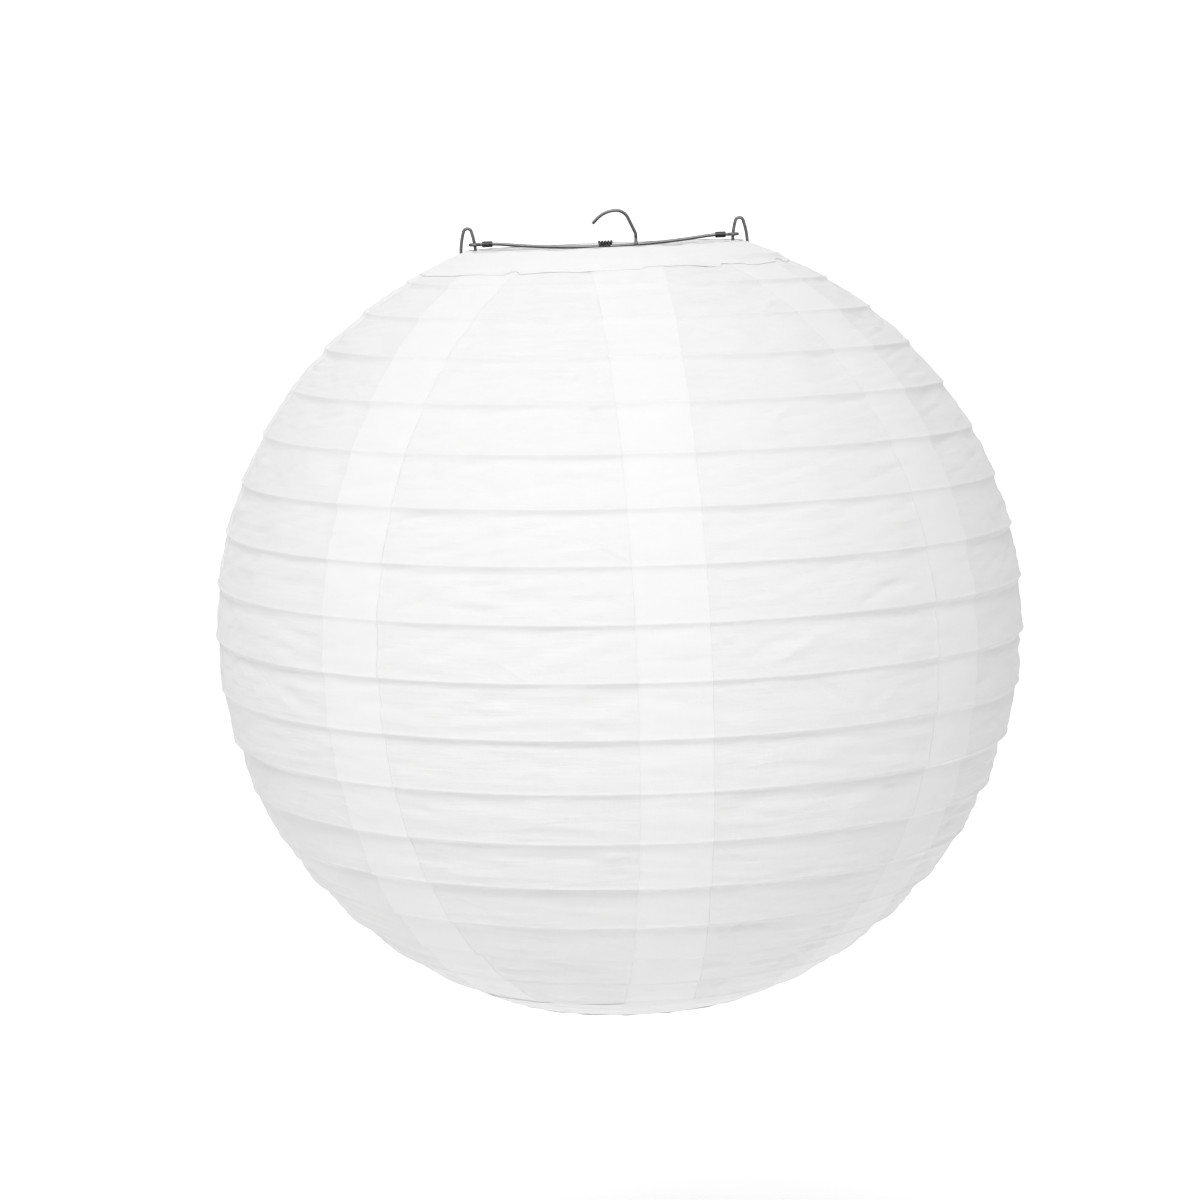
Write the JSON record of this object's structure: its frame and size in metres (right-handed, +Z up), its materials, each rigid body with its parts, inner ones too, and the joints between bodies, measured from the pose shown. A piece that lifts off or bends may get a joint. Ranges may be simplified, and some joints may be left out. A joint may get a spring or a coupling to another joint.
{
  "type": "accordion paper lantern",
  "caption": "Round white paper lantern on a spiral wire rib, held open by a wire expander with a hanging hook; it folds flat like an accordion.",
  "frame": {"origin": "seat inside the top of the hanging hook, where a ceiling hook or a line bears", "axes": "+Z up along the lantern's axis, +X along the crossbar to the right leg, -Y to the front"},
  "size_m": [0.3049, 0.3048, 0.2966],
  "materials": {
    "paper": "matte",
    "hem_paper": "matte",
    "rib_wire": "satin",
    "expander_wire": "satin",
    "sleeve_metal": "matte"
  },
  "bodies": {
    "hook": {"hanging_hook": "expander_wire"},
    "expander": {"crossbar": "expander_wire", "centre_tie": "expander_wire", "left_sleeve": "sleeve_metal", "right_sleeve": "sleeve_metal", "top_ring": "rib_wire", "top_hem": "hem_paper", "rib_spiral": "rib_wire", "paper_gore_1": "paper", "paper_gore_2": "paper", "paper_gore_3": "paper", "paper_gore_4": "paper", "paper_gore_5": "paper", "paper_gore_6": "paper", "paper_gore_7": "paper", "paper_gore_8": "paper"},
    "left_leg": {"left_leg": "expander_wire"},
    "right_leg": {"right_leg": "expander_wire"},
    "bottom": {"bottom_ring": "rib_wire", "bottom_hem": "hem_paper"}
  },
  "joints": [
    {"name": "hook_swing", "type": "hinge", "parent": "hook", "child": "expander", "pos_m": [0.00722, 0, -0.01237], "axis": [1, 0, 0], "range_deg": [-90, 90]},
    {"name": "left_leg_spring", "type": "hinge", "parent": "expander", "child": "left_leg", "pos_m": [-0.05618, 0, -0.0136], "axis": [0, -1, 0], "range_deg": [0, 6], "stiffness_Nm_per_rad": 0.05},
    {"name": "right_leg_spring", "type": "hinge", "parent": "expander", "child": "right_leg", "pos_m": [0.04662, 0, -0.0136], "axis": [0, 1, 0], "range_deg": [0, 6], "stiffness_Nm_per_rad": 0.05},
    {"name": "accordion_fold", "type": "slide", "parent": "expander", "child": "bottom", "axis": [0, 0, 1], "range_m": [0, 0.258], "deforming": ["paper_gore_1", "paper_gore_2", "paper_gore_3", "paper_gore_4", "paper_gore_5", "paper_gore_6", "paper_gore_7", "paper_gore_8", "rib_spiral"]}
  ]
}
